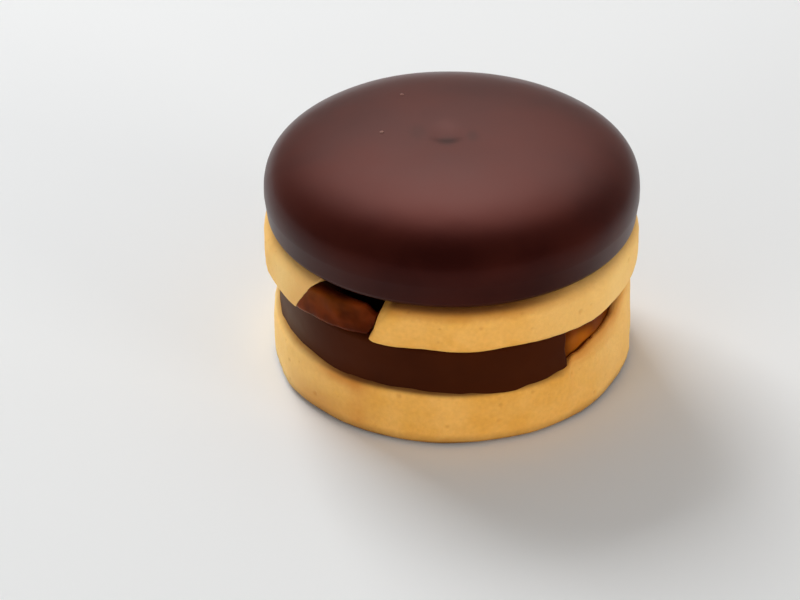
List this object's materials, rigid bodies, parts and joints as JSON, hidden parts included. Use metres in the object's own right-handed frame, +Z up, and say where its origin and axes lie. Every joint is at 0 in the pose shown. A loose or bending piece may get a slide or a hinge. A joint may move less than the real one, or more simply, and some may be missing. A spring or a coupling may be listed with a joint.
{
  "type": "jaffa cake",
  "caption": "Double-deck jaffa cake: sponge, orange jelly under dark chocolate, a second sponge and jelly, and a domed chocolate cap with a faint dip in its top.",
  "frame": {"origin": "middle of the footprint, on the plane that the cake stands on", "axes": "+Z up along the cake's axis; -Y towards the front, with the torn sponge left of it and the gap in the lower chocolate right of it; +X to the right"},
  "size_m": [0.0566, 0.0566, 0.0374],
  "materials": {
    "sponge": "matte",
    "jelly": "gloss",
    "chocolate": "satin"
  },
  "bodies": {
    "root": {"lower_sponge": "sponge", "lower_jelly": "jelly", "lower_chocolate": "chocolate", "upper_sponge": "sponge", "upper_jelly": "jelly", "chocolate_cap": "chocolate"}
  },
  "joints": []
}
